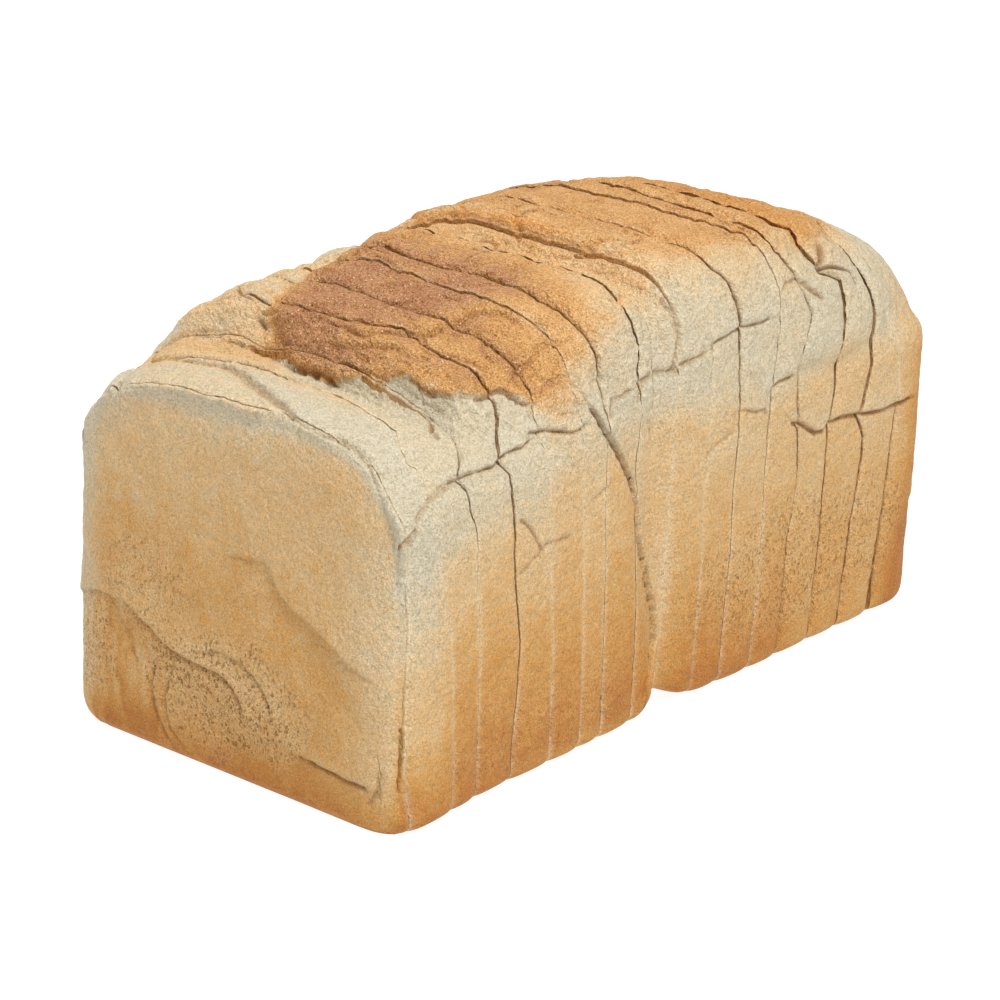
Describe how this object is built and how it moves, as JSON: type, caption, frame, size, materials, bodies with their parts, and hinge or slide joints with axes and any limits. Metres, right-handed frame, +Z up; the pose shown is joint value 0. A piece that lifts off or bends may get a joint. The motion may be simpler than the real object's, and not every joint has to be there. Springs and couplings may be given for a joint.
{
  "type": "tin loaf",
  "caption": "Sliced white tin loaf with a domed golden crown, standing on its flat base with its slices still together.",
  "frame": {"origin": "centre of the loaf's box, on the flat base", "axes": "+Y along the loaf from the front heel to the rear heel, +X towards its right side as seen from the front heel, +Z up"},
  "size_m": [0.1229, 0.2048, 0.1172],
  "materials": {
    "crust": "matt"
  },
  "bodies": {
    "root": {"front_heel": "crust", "slice_01": "crust", "slice_02": "crust", "slice_03": "crust", "slice_04": "crust", "slice_05": "crust", "slice_06": "crust", "slice_07": "crust", "slice_08": "crust", "slice_09": "crust", "slice_10": "crust", "slice_11": "crust", "slice_12": "crust", "slice_13": "crust", "slice_14": "crust", "slice_15": "crust", "rear_heel": "crust"}
  },
  "joints": []
}
